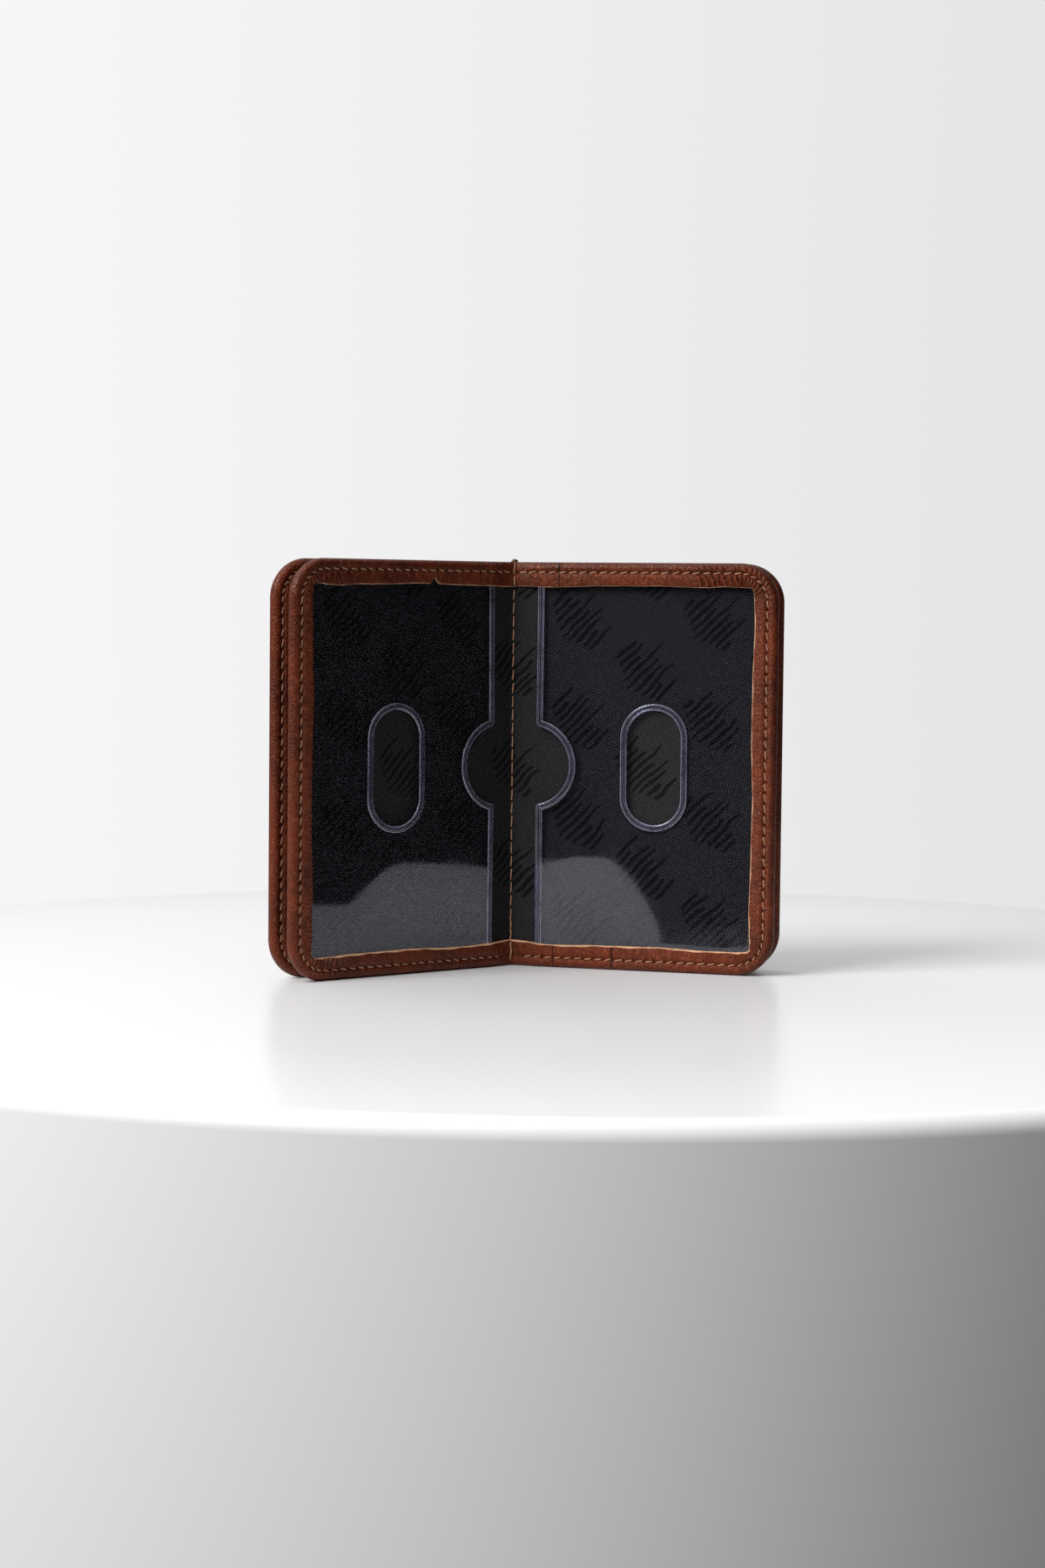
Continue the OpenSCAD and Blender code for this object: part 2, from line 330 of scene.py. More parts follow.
def hem_width(path, leaf):
    """How far in the hem's raw edge lies: squared off in the corners, slightly wavy, wider
    towards the spine at the bottom, with a nick in the left inner leaf's top hem."""
    along, height, out_along, out_height, run = path
    square = (np.abs(out_along) ** 7 + np.abs(out_height) ** 7) ** (-1 / 7)
    width = CORNER_R - (CORNER_R - HEM_W) * square
    phase = 1.7 * leaf.side + (2.3 if leaf.outer else 0)
    width = width + 0.06 * np.sin(run / 3.1 + phase) + 0.2 * np.sin(run / 7.3 + 2 * phase)
    width = width + 0.02 * np.sin(run / 1.3 + 3 * phase)
    width = width + 0.5 * (height < 1) * (1 - smooth(along / 12))
    width = width - 0.35 * bell(along, LEAF_W - 13, 4) * (height > LEAF_H - 1) * leaf.side
    if leaf.name == "left_inner":
        width = width - 1.5 * bell(along, TOP_NICK, 0.7) * (height > LEAF_H - 1)
    return width


def cover_profile():
    """Cross-section of the turned edge, as inset and deep: along the hem from its raw edge,
    over the seam's valley, round the rim, and over the back's valley to the flat back. side
    is 1 on the hem, 0 on the rim and -1 on the back."""
    hem = HEM_W - BEVEL - (HEM_W - BEVEL - RIM_R) * np.linspace(0, 1, 20) ** 1.1
    hem = np.concatenate([[HEM_W], hem])
    valley = SEAM_SINK * bell(hem, SEAM_INSET, 0.5)
    roll = np.where(hem == HEM_W, 0.36, 0.05 * np.exp(-(HEM_W - BEVEL - hem) / 0.3))
    swell = -0.09 * np.sin(math.pi * np.clip((hem - SEAM_INSET) / (HEM_W - SEAM_INSET), 0, 1))
    turn = np.linspace(-math.pi / 2, math.pi / 2, 11)[1:-1]
    back = RIM_R + (BACK_INSET - RIM_R) * np.linspace(0, 1, 13) ** 1.3
    inset = np.concatenate([hem, RIM_R * (1 - np.cos(turn)), back])
    deep = np.concatenate([
        valley + roll + swell, LEAF_T / 2 * (1 + np.sin(turn)),
        LEAF_T - SEAM_SINK * bell(back, SEAM_INSET, 0.5),
    ])
    side = np.concatenate([np.ones(hem.size), np.zeros(turn.size), -np.ones(back.size)])
    return inset, deep, side


def wrinkles(run, inset, along, height, front, leaf):
    """How far the leather stands out of its smooth shape: it is pulled in at each needle
    hole and gathered between them, pleated in the corners, and creased across the hem."""
    phase = 2.1 * leaf.side + (0.9 if leaf.outer else 0)
    beat = TURN * run / STITCH_PITCH
    pull = -0.16 * bell(inset, SEAM_INSET, 0.6) * (0.5 + 0.5 * np.cos(beat)) ** 3
    gather = 0.045 * np.sin(beat + 1.1 * np.sin(run / 5 + phase) + inset)
    gather = gather * bell(inset, SEAM_INSET, 2.0)
    corner = corner_weight(along, height)
    bunch = bell(along, LEAF_W - 14, 9) * (height > LEAF_H / 2) * smooth(inset / 1.5) * front
    bunch = bunch * (0.13 if leaf.name == "right_inner" else 0.02)
    bunch = bunch * np.sin(TURN * (run + 0.5 * inset) / 1.7 + 1.5 * np.sin(run / 3) + phase)
    pleat = 0.13 * corner * np.cos(TURN * run / 1.9 + phase + 0.5 * np.sin(run)) * front
    pleat = pleat * smooth((inset - SEAM_INSET) / 2)
    crease = 0.02 * np.sin(TURN * (run + 0.55 * inset) / 1.45 + 3 * np.sin(run / 6 + phase))
    crease = crease + 0.014 * np.sin(TURN * (run - 0.4 * inset) / 0.9 + 4 * np.sin(run / 9))
    lift = 0.03 * np.sin(run / 4.7 + phase) * smooth((inset - 3.5) / 2) * front
    crease = crease * smooth(inset / 2) * (0.5 + 0.5 * front)
    return pull + gather + pleat + bunch + crease + lift


def turned_edge(leaf):
    """The hem, rim and outer band of the back: the cross-section carried along the outline.
    Gives along, height, deep, run and inset as grids, one row for each step along the
    outline; inset is negative on the back."""
    path = edge_path(STITCH_PITCH / 5)
    along, height, out_along, out_height, run = (line[:, None] for line in path)
    inset, deep, side = (line[None, :] for line in cover_profile())
    width = hem_width(path, leaf)[:, None]
    hem_part = np.clip((inset - SEAM_INSET) / (HEM_W - SEAM_INSET), 0, None)
    stretched = SEAM_INSET + hem_part * (width - SEAM_INSET)
    inset = np.where((side > 0) & (inset > SEAM_INSET), stretched, inset + 0 * width)
    # The pale cut edge is uneven, and narrower at the top and on the upright side
    uneven = 0.3 * np.sin(run[:, 0] / 0.9) + 0.3 * np.sin(run[:, 0] / 2.3 + leaf.side)
    shown = 1 - 0.65 * smooth((height[:, 0] - LEAF_H + 8) / 6)
    upright = smooth((along[:, 0] - LEAF_W + 7) / 5) * smooth((height[:, 0] - 6) / 5)
    shown = shown - upright * (0.7 if leaf.side < 0 else 0.4) * (shown - 0.3)
    inset[:, 1] = inset[:, 0] - BEVEL * (1 + uneven * 0.8) * shown
    front = (side > 0) * 1.0
    rim = (side == 0) * 1.0
    out = wrinkles(run, inset, along, height, front, leaf)
    deep = deep + out * (1 - 2 * front) * (1 - rim)
    moved = np.maximum(inset - 0.4 * out * rim, 0.0)
    edge_along = along - out_along * moved
    edge_height = height - out_height * moved
    signed = np.where(side < 0, -inset, inset)
    return edge_along, edge_height, deep, run + 0 * edge_along, signed


def spanned(low, high, far, a, b):
    """A value all over a panel from its values on three sides: the blend of the low and high
    sides by b, plus that of the straight near side and the far side by a, less the blend of
    the four corners."""
    near = low[0] + (high[0] - low[0]) * b
    upright = (1 - a) * near + a * far[None, :]
    level = (1 - b) * low[:, None] + b * high[:, None]
    corners = (1 - a) * near + a * ((1 - b) * low[-1] + b * high[-1])
    return level + upright - corners


def back_panel(leaf, edge_along, edge_height):
    """The back inside the turned edge, spanned between the band's own points, with two
    faint creases next to the spine and a slight sway. Gives along, height, deep and the
    numbers of its points, where those on three sides are the band's."""
    rows, columns = edge_along.shape
    normal = edge_path(STITCH_PITCH / 5)[2:4]
    corner = int(np.argmin(np.abs(np.degrees(np.arctan2(normal[0], -normal[1])) - 45)))
    last = rows - 1
    low = slice(0, corner + 1)
    high = slice(last - corner, None)
    far = slice(corner, last - corner + 1)
    border, border_z = edge_along[:, -1], edge_height[:, -1]
    a = (border[low] - border[0]) / (border[corner] - border[0])
    b = (border_z[far] - border_z[corner]) / (border_z[last - corner] - border_z[corner])
    a, b = a[:, None], b[None, :]
    along = spanned(border[low], border[high][::-1], border[far], a, b)
    height = spanned(border_z[low], border_z[high][::-1], border_z[far], a, b)
    number = np.arange(along.size).reshape(along.shape) + rows * columns
    ring = np.arange(rows) * columns + columns - 1
    number[:, 0] = ring[low]
    number[:, -1] = ring[high][::-1]
    number[-1, :] = ring[far]
    crease = -0.07 * bell(along, 10.4, 0.5) - 0.04 * bell(along, 12.0, 0.35)
    sway = 0.05 * np.sin(along / 9 + leaf.side) * np.sin(height / 14 + 1)
    within = smooth((height - BACK_INSET) / 6) * smooth((LEAF_H - BACK_INSET - height) / 6)
    within = within * smooth((LEAF_W - BACK_INSET - along) / 6)
    return along, height, LEAF_T + (crease + sway) * within, number


def cover_surface(leaf):
    """The leather of one leaf, as one surface: the turned edge, and the back panel inside
    it. Gives along, depth, height, run, signed inset, the quads, and 1 for each quad of the
    pale cut edge."""
    edge_along, edge_height, edge_deep, edge_run, signed = turned_edge(leaf)
    back_along, back_height, back_deep, number = back_panel(leaf, edge_along, edge_height)
    rows, columns = edge_along.shape
    band = grid_quads(rows, columns)
    panel = number.ravel()[grid_quads(*number.shape)]
    cut_edge = np.zeros(len(band) + len(panel), dtype=np.int32)
    cut_edge[: len(band): columns - 1] = 1
    along = np.concatenate([edge_along.ravel(), back_along.ravel()])
    height = np.concatenate([edge_height.ravel(), back_height.ravel()])
    deep = np.concatenate([(edge_deep + 0 * edge_along).ravel(), back_deep.ravel()])
    run = np.concatenate([edge_run.ravel(), back_along.ravel()])
    signed = np.concatenate([signed.ravel(), np.full(back_along.size, PANEL_INSET)])
    depth = leaf.depth(along, deep)
    return along, depth, height, run, signed, np.concatenate([band, panel]), cut_edge


def only_used(quads, *arrays):
    """Drops the points that no quad uses."""
    used = np.zeros(len(arrays[0]), dtype=bool)
    used[quads.ravel()] = True
    renumber = np.cumsum(used) - 1
    return (renumber[quads],) + tuple(array[used] for array in arrays)


# ---------------------------------------------------------------- shaders


def math_node(shader, operation, *terms):
    """The result of one Math node."""
    made = shader.node("Math", dict(enumerate(terms)), operation=operation)
    return Value(shader, made.outputs[0])


def operator(operation):
    """A method of Value that adds a Math node of this operation."""
    return lambda value, *terms: math_node(value.shader, operation, value, *terms)


class Value:
    """A number in a shader: each operator on it adds one Math node."""

    def __init__(self, shader, socket):
        self.shader, self.socket = shader, socket

    __add__ = __radd__ = operator("ADD")
    __mul__ = __rmul__ = operator("MULTIPLY")
    __sub__ = operator("SUBTRACT")
    __truediv__ = operator("DIVIDE")
    __pow__ = operator("POWER")
    __abs__ = operator("ABSOLUTE")
    sin = operator("SINE")
    nearest = operator("ROUND")
    modulo = operator("FLOORED_MODULO")
    least = operator("MINIMUM")
    most = operator("MAXIMUM")

    def __rsub__(self, other):
        return math_node(self.shader, "SUBTRACT", other, self)

    def ramp(self, low, high, start=0.0, end=1.0):
        """Smoothly from start to end as the number goes from low to high."""
        made = self.shader.node("MapRange", {
            "Value": self, "From Min": low, "From Max": high, "To Min": start, "To Max": end,
        }, interpolation_type="SMOOTHSTEP")
        return Value(self.shader, made.outputs["Result"])


class Finish:
    """The nodes of one procedural material, or of the world."""

    def __init__(self, owner):
        owner.use_nodes = True
        owner.node_tree.nodes.clear()
        self.owner = owner
        self.tree = owner.node_tree

    def node(self, kind, inputs=None, **settings):
        """Adds a node: its settings first, then the values or links of its sockets."""
        made = self.tree.nodes.new("ShaderNode" + kind)
        for key, value in settings.items():
            setattr(made, key, value)
        for key, value in (inputs or {}).items():
            if isinstance(value, Value):
                value = value.socket
            if isinstance(value, bpy.types.NodeSocket):
                self.tree.links.new(value, made.inputs[key])
            else:
                made.inputs[key].default_value = value
        return made

    def numbers(self, vector, count):
        """The first numbers of a vector."""
        made = self.node("SeparateXYZ", {0: vector})
        return [Value(self, made.outputs[i]) for i in range(count)]

    def vector(self, x, y, z=0.0):
        return self.node("CombineXYZ", {0: x, 1: y, 2: z}).outputs[0]

    def vector_math(self, operation, inputs):
        return self.node("VectorMath", inputs, operation=operation).outputs[0]

    def millimetres(self):
        """Object coordinates, counted in millimetres."""
        source = self.node("TexCoord").outputs["Object"]
        return self.vector_math("SCALE", {0: source, "Scale": 1 / MM})

    def flat(self):
        """The two numbers of the piece's own flat map, in millimetres."""
        source = self.node("UVMap", uv_map="Flat").outputs["UV"]
        return [number * FLAT_UNIT for number in self.numbers(source, 2)]

    def noise(self, where, scale, detail=3.0, roughness=0.55):
        return Value(self, self.node("TexNoise", {
            "Vector": where, "Scale": scale, "Detail": detail, "Roughness": roughness,
        }).outputs["Fac"])

    def cells(self, where, scale, feature="DISTANCE_TO_EDGE"):
        made = self.node("TexVoronoi", {"Vector": where, "Scale": scale}, feature=feature)
        return Value(self, made.outputs["Distance"])

    def shifted(self, where, amount, scale):
        """Coordinates pushed about by noise, so that a pattern on them isn't regular."""
        made = self.node("TexNoise", {"Vector": where, "Scale": scale, "Detail": 2.0})
        push = self.vector_math("SCALE", {0: made.outputs["Color"], "Scale": amount})
        return self.vector_math("ADD", {0: where, 1: push})

    def mix(self, share, first, second):
        """A colour between two colours."""
        return self.node("Mix", {0: share, 6: first, 7: second}, data_type="RGBA").outputs[2]

    def bump(self, height, distance):
        """A normal from a height that is counted in parts of distance millimetres."""
        made = self.node("Bump", {"Height": height, "Distance": distance * MM, "Strength": 1.0})
        return made.outputs["Normal"]

    def mirror_share(self):
        """How much clear plastic reflects, the same from both faces: 4.8 % straight on, rising
        with the fifth power of one minus the cosine of the angle."""
        away = Value(self, self.node("LayerWeight", {"Blend": 0.5}).outputs["Facing"])
        return away ** 5.0 * (1 - STRAIGHT_ON) + STRAIGHT_ON

    def principled(self, inputs):
        return self.node("BsdfPrincipled", inputs).outputs[0]

    def clear(self, tint):
        """Lets the light straight through, tinted."""
        return self.node("BsdfTransparent", {"Color": tint}).outputs[0]

    def blended(self, share, first, second):
        """One shader over another, as varnish over wood: share of the second."""
        return self.node("MixShader", {0: share, 1: first, 2: second}).outputs[0]

    def finished(self, shader, output="OutputMaterial"):
        self.node(output, {"Surface": shader})
        return self.owner

    def solid(self, inputs):
        return self.finished(self.principled(inputs))


def new_finish(name):
    return Finish(bpy.data.materials.new(name))


def leather(name, joints=(), gathers=None):
    """Fine-grained, semi-matt leather: pebbled cells broken by creases, mottled colour, a rim
    darkened as painted shade, needle holes along the seam painted dark as shade, dark joints
    across the hem and crease lines painted dark as shade. gathers is where along the run, and
    over what length, the hem is gathered into small pleats, painted dark in their valleys and
    light on their crests as painted shade and highlight."""
    f = new_finish(name)
    where = f.millimetres()
    warped = f.shifted(where, 0.5, 0.9)
    cells = f.cells(warped, 1.15).ramp(0.0, 0.26)
    pores = f.cells(warped, 3.0, "F1").ramp(0.05, 0.5)
    creases = f.noise(f.shifted(where, 1.8, 0.3), 0.75, 3.0, 0.58)
    patches = f.noise(where, 0.07, 3.0)
    run, inset = f.flat()
    on_hem = abs(inset).ramp(0.6, 2.0) * abs(inset).ramp(6.5, 9.5, 1.0, 0.0)
    folds = f.noise(f.vector(run, inset * 0.4), 1.0, 4.0, 0.6).ramp(0.35, 0.65) * on_hem
    off_seam = abs(abs(inset) - SEAM_INSET)
    line = off_seam.ramp(0.15, 0.75, 1.0, 0.0)
    beat = (run * (TURN / STITCH_PITCH) + math.pi / 2).sin()
    holes = off_seam.ramp(0.1, 0.42, 1.0, 0.0) * beat.ramp(0.72, 0.97)
    # Painted shade: the rounded rim is darkened, as shade on rims that turn away from the light.
    rim_shade = abs(inset).ramp(0.0, 1.3, 1.0, 0.0)
    tone = f.mix(patches.ramp(0.32, 0.68), LEATHER_DARK, LEATHER_MID)
    tone = f.mix(creases.ramp(0.5, 0.72) * 0.5 + folds * 0.25, tone, LEATHER_LIGHT)
    tone = f.mix((1 - cells) * 0.5, tone, LEATHER_DARK)
    tone = f.mix(rim_shade * 0.3, tone, LEATHER_DARK)
    # Painted shade: the needle holes and the seam's groove are darkened towards near black.
    tone = f.mix(line * 0.08 + holes * 0.6, tone, (0.012, 0.004, 0.003, 1))
    height = cells * 0.35 + pores * 0.06 + creases * 1.1 + folds * 0.9 - line * 0.1 - holes * 1.2
    if gathers:
        middle, reach = gathers
        wander = (f.noise(f.vector(run, inset), 0.35, 1.0) - 0.5) * 5.0
        pleats = (run * (TURN / 1.55) + inset * 1.3 + wander).sin() * 0.5 + 0.5
        near = abs(run - middle).ramp(reach * 0.4, reach, 1.0, 0.0)
        inside_seam = inset.ramp(2.7, 3.6)
        outside_seam = inset.ramp(0.4, 1.2) * inset.ramp(1.8, 2.4, 0.5, 0.0)
        near = near * inside_seam + near * outside_seam
        # Painted shade in the pleats' valleys and painted highlight on their crests.
        tone = f.mix((1 - pleats) * near * 0.55, tone, LEATHER_DARK)
        tone = f.mix(pleats ** 3.0 * near * 0.35, tone, LEATHER_LIGHT)
        height = height + pleats * near * 3.4
    # Dark lines across the hem: at the joints and the nick they are the leather's own, at the
    # creases they are painted shade.
    for place, width in joints:
        cut = abs(run + (f.noise(where, 1.4) - 0.5) * 0.5 - place).ramp(0.03, width, 1.0, 0.0)
        cut = cut * inset.ramp(0.0, 0.4)
        tone = f.mix(cut * 0.85, tone, (0.01, 0.005, 0.004, 1))
        height = height - cut * 2.0
    gloss = 0.3 + (1 - cells) * 0.14 + patches * 0.08
    return f.solid({
        "Base Color": tone, "Roughness": gloss, "Specular IOR Level": 0.36,
        "Specular Tint": (1.0, 0.72, 0.58, 1),
        "Normal": f.bump(height, 0.185),
    })


def raw_edge():
    """The cut edge and flesh side of the leather: pale tan, fibrous, darker in places."""
    f = new_finish("raw_leather_edge")
    where = f.millimetres()
    fibres = f.noise(where, 4.0, 4.0, 0.7)
    stain = f.noise(where, 0.35, 2.0)
    tone = f.mix(fibres.ramp(0.3, 0.7), (0.42, 0.2, 0.1, 1), (0.78, 0.46, 0.27, 1))
    tone = f.mix(stain.ramp(0.55, 0.75) * 0.6, tone, (0.2, 0.06, 0.03, 1))
    return f.solid({
        "Base Color": tone, "Roughness": 0.85, "Normal": f.bump(fibres, 0.1),
    })


def slashes(f, along, height):
    """Staggered clusters of short, roughly parallel slanting strokes. Each cluster is a cell
    of a brick grid, and its strokes are the rounded rows of a grid turned to their slant."""
    place = f.vector(along, height)
    along = along + (f.noise(place, 0.12, 1.0) - 0.5) * 2.4
    height = height + (f.noise(f.vector(height, along, 7.0), 0.12, 1.0) - 0.5) * 2.4
    column_w, row_h, slant = 16.9, 24.5, math.radians(44)
    column = (along / column_w).nearest()
    lifted = height + column.modulo(2.0) * (row_h / 2)
    row = (lifted / row_h).nearest()
    x, y = along - column * column_w, lifted - row * row_h
    forward = x * math.cos(slant) + y * math.sin(slant)
    across = y * math.cos(slant) - x * math.sin(slant)
    pitch = 1.75
    stroke = (across / pitch).nearest()
    odd = (stroke * 2.4 + column * 1.7 + row * 0.8).sin()
    reach = 6.2 - abs(stroke) * 0.85 + odd * 1.3
    half = 0.5 - abs(forward) * 0.045
    wide = (abs(across - stroke * pitch) - half).ramp(-0.14, 0.16, 1.0, 0.0)
    long = (abs(forward - odd * 1.3) - reach).ramp(-0.4, 0.2, 1.0, 0.0)
    return wide * long * abs(stroke).ramp(4.2, 4.4, 1.0, 0.0)


def lining():
    """Black jacquard: a fine slanting rib of raised yarns, with clusters of satin strokes
    that lie lower, reflect less and show the yarn's beads."""
    f = new_finish("lining_jacquard")
    along, height = f.flat()
    where = f.millimetres()
    marks = slashes(f, along, height)
    wander = (f.noise(where, 0.5, 2.0) - 0.5) * 0.25
    rib = ((height + along * 0.28 + wander) * (TURN / 0.52)).sin() * 0.5 + 0.5
    yarn = ((along - height * 0.12 + wander) * (TURN / 0.58)).sin() * 0.5 + 0.5
    float_yarn = ((height * 1.1 - along + wander) * (TURN / 0.62)).sin() * 0.5 + 0.5
    ground = rib * 0.65 + yarn * 0.35
    satin = float_yarn * 0.6 + rib * 0.4
    fuzz = f.noise(where, 6.0, 3.0, 0.7)
    weave = ground * (1 - marks) + (satin * 0.8 - 0.75) * marks
    tone = f.mix(ground, (0.001, 0.001, 0.0012, 1), (0.021, 0.0204, 0.023, 1))
    tone = f.mix(marks * 0.72, tone, (0.002, 0.002, 0.0025, 1))
    tone = f.mix(marks * satin.ramp(0.6, 0.95) * 0.4, tone, (0.04, 0.04, 0.043, 1))
    tone = f.mix(fuzz.ramp(0.55, 0.8) * 0.2, tone, (0.045, 0.045, 0.05, 1))
    return f.solid({
        "Base Color": tone, "Roughness": 0.56 - ground * 0.12 + marks * 0.3,
        "Metallic": (marks * (1 - satin * 0.6)).most((1 - ground) * 0.75),
        "Specular IOR Level": 0.32,
        "Normal": f.bump(weave + fuzz * 0.2, 0.19),
    })


def clear_vinyl():
    """Clear flexible vinyl: see-through, with a sharp reflection that grows at grazing
    angles, and a faint haze with fine scratches."""
    f = new_finish("clear_vinyl")
    where = f.millimetres()
    smears = f.noise(f.shifted(where, 6.0, 0.05), 0.06, 3.0)
    dust = f.noise(where, 3.2, 2.0, 0.6).ramp(0.72, 0.8)
    through = f.clear((0.95, 0.95, 0.985, 1))
    gloss = f.principled({
        "Base Color": (0.86, 0.87, 0.95, 1), "Metallic": 1.0,
        "Roughness": 0.03 + smears.ramp(0.4, 0.7) * 0.03,
    })
    share = f.mirror_share() + 0.004 + smears.ramp(0.5, 0.75) * 0.004 + dust * 0.02
    return f.finished(f.blended(share, through, gloss))


def welded_vinyl():
    """Welded vinyl bead: clear and dark in the middle, with lavender lines on its two ridges
    that are partly milky vinyl and partly painted highlight."""
    f = new_finish("welded_vinyl")
    where = f.millimetres()
    uneven = f.noise(where, 0.25, 3.0)
    across = abs(f.flat()[1])
    # Painted highlight, partly milky vinyl: the ridges and the bead's edges get a lighter lavender
    # colour and more gloss.
    edges = across.ramp(0.52, 0.62) * across.ramp(0.74, 0.82, 1.0, 0.0)
    ridge = across.ramp(0.12, 0.2) * across.ramp(0.3, 0.42, 1.0, 0.0)
    milky_and_highlight = (edges + ridge * 0.55).least(1.0) * uneven.ramp(0.25, 0.6, 0.6, 1.0)
    through = f.clear((0.7, 0.7, 0.82, 1))
    body = f.principled({
        "Base Color": f.mix(milky_and_highlight, (0.03, 0.03, 0.044, 1), (0.32, 0.32, 0.42, 1)),
        "Roughness": 0.12 + uneven * 0.1, "Specular IOR Level": 0.9, "Coat Weight": 0.6,
    })
    share = (f.mirror_share() * 1.5 + 0.1 + milky_and_highlight * 0.6).least(1.0)
    return f.finished(f.blended(share, through, body))


def thread():
    """Twisted sewing thread: slanting plies wound round the stitch, with a satin gloss. The plies
    are painted light on their crests and dark in their grooves, as painted highlight and shade.
    """
    f = new_finish("tan_thread")
    length, around = f.flat()
    where = f.millimetres()
    plies = (length * (TURN / 0.55) + around * (TURN / THREAD_TURN)).sin() * 0.5 + 0.5
    hairs = f.noise(where, 7.0, 3.0, 0.7)
    worn = f.noise(where, 0.4, 2.0)
    # Painted highlight on the plies' crests and painted shade in their grooves; worn places are
    # darkened as well.
    tone = f.mix(plies * 0.7 + hairs * 0.3, THREAD_SHADE_AND_WEAR, THREAD_HIGHLIGHT)
    tone = f.mix(worn.ramp(0.45, 0.7) * 0.45, tone, THREAD_SHADE_AND_WEAR)
    return f.solid({
        "Base Color": tone, "Roughness": 0.5, "Sheen Weight": 0.2,
        "Normal": f.bump(plies + hairs * 0.5, 0.07),
    })


def speckled(name, noise, dark, light, roughness, relief):
    """A plain finish whose colour and relief follow noise, given as its scale, its detail
    and its roughness."""
    f = new_finish(name)
    specks = f.noise(f.millimetres(), *noise)
    tone = f.mix(specks.ramp(0.35, 0.65), dark, light)
    return f.solid({
        "Base Color": tone, "Roughness": roughness, "Normal": f.bump(specks, relief),
    })


def plinth_paint():
    """Smooth white paint with a soft gloss."""
    f = new_finish("plinth_paint")
    grain = f.noise(f.millimetres(), 0.8, 3.0)
    return f.solid({
        "Base Color": (0.86, 0.86, 0.865, 1), "Roughness": 0.23 + grain * 0.05,
        "Specular IOR Level": 0.3, "Normal": f.bump(grain, 0.01),
    })


RAW = raw_edge()
LINING = lining()
SHEET = clear_vinyl()
BEAD = welded_vinyl()
THREAD = thread()
# The burnt end of the thread, glassy and lumpy, and grey-brown pressed board with flecks
MELTED = speckled("melted_thread", (3.0, 3.0), (0.02, 0.008, 0.005, 1), (0.16, 0.06, 0.03, 1),
                  roughness=0.35, relief=0.15)
BOARD = speckled("pressed_board", (2.5, 4.0, 0.7), (0.16, 0.11, 0.07, 1), (0.4, 0.3, 0.2, 1),
                 roughness=0.8, relief=0.08)

# The whole outline's length, and where the hem is joined or creased across: for each place
# the length run from the spine's bottom, and how far the dark line fades. The joints are dark
# lines in the leather; the dark lines of the creases are painted shade.
WHOLE_RUN = float(edge_path(STITCH_PITCH / 5)[4][-1])
JOINS_AND_SHADED_CREASES = {
    "right_inner": (
        (BOTTOM_JOINT, 0.32), (BOTTOM_CREASE, 0.16), (WHOLE_RUN - TOP_CREASE["right"], 0.2),
    ),
    "left_inner": ((WHOLE_RUN - TOP_NICK, 0.25), (WHOLE_RUN - TOP_CREASE["left"], 0.16)),
}
# Where a hem is gathered into its corner: the middle of the pleats and their reach. The pleats
# carry painted shade and painted highlight.
GATHERS = {
    "right_inner": (WHOLE_RUN - LEAF_W + 9.0, 15.0),
    "left_inner": (LEAF_W - 9.0, 8.0),
}
LEATHER = {
    leaf.name: leather(f"{leaf.name}_leather", JOINS_AND_SHADED_CREASES.get(leaf.name, ()), GATHERS.get(leaf.name))
    for leaf in LEAVES
}

# ---------------------------------------------------------------- pieces of a leaf


def bend_near(piece, leaf):
    """Bakes the piece's transform into its mesh; the points where the fold starts and ends are
    worked out but not used.
    """
    leaf.point(0)
    leaf.point(FOLD_END)
    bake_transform(piece)


def bend_far(piece, leaf):
    """Bakes the piece's transform into its mesh; the points where the fold ends and the splay ends
    are worked out but not used.
    """
    start, end = leaf.point(FOLD_END), leaf.point(SPLAY_END)
    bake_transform(piece)


def make_cover(leaf):
    """Cover leather, as one piece on an inner leaf and two on an outer leaf, split where the fold
    ends."""
    along, depth, height, run, signed, quads, cut_edge = cover_surface(leaf)
    lots = {"cover": np.ones(len(quads), dtype=bool)}
    if leaf.outer:
        near = along[quads].mean(axis=1) < FOLD_END
        lots = {"cover_fold": near, "cover": ~near}
    pieces = []
    for ending, chosen in lots.items():
        lot, *kept = only_used(quads[chosen], along, depth, height, run, signed)
        points = leaf.place(kept[0], kept[1], kept[2])
        flat = flat_map(kept[3], kept[4])
        piece = add_piece(f"{leaf.name}_{ending}_leather", points, lot, flat,
                          [LEATHER[leaf.name], RAW], leaf.side > 0, cut_edge[chosen])
        # An outer leaf's flesh side is dyed, because it shows where the two parts meet
        raw = 0 if leaf.outer else 1
        thicken(piece, HEM_T, rim_finish=raw, inside_finish=raw)
        pieces.append(piece)
    bend_near(pieces[0], leaf)
    if leaf.outer:
        bend_far(pieces[1], leaf)
        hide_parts(f"{leaf.name}_fold", "spine_outer_leather")
        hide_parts(f"{leaf.name}_cover")
    else:
        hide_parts(f"{leaf.name}_cover", f"{leaf.name}_fold", "spine_inner_leather")


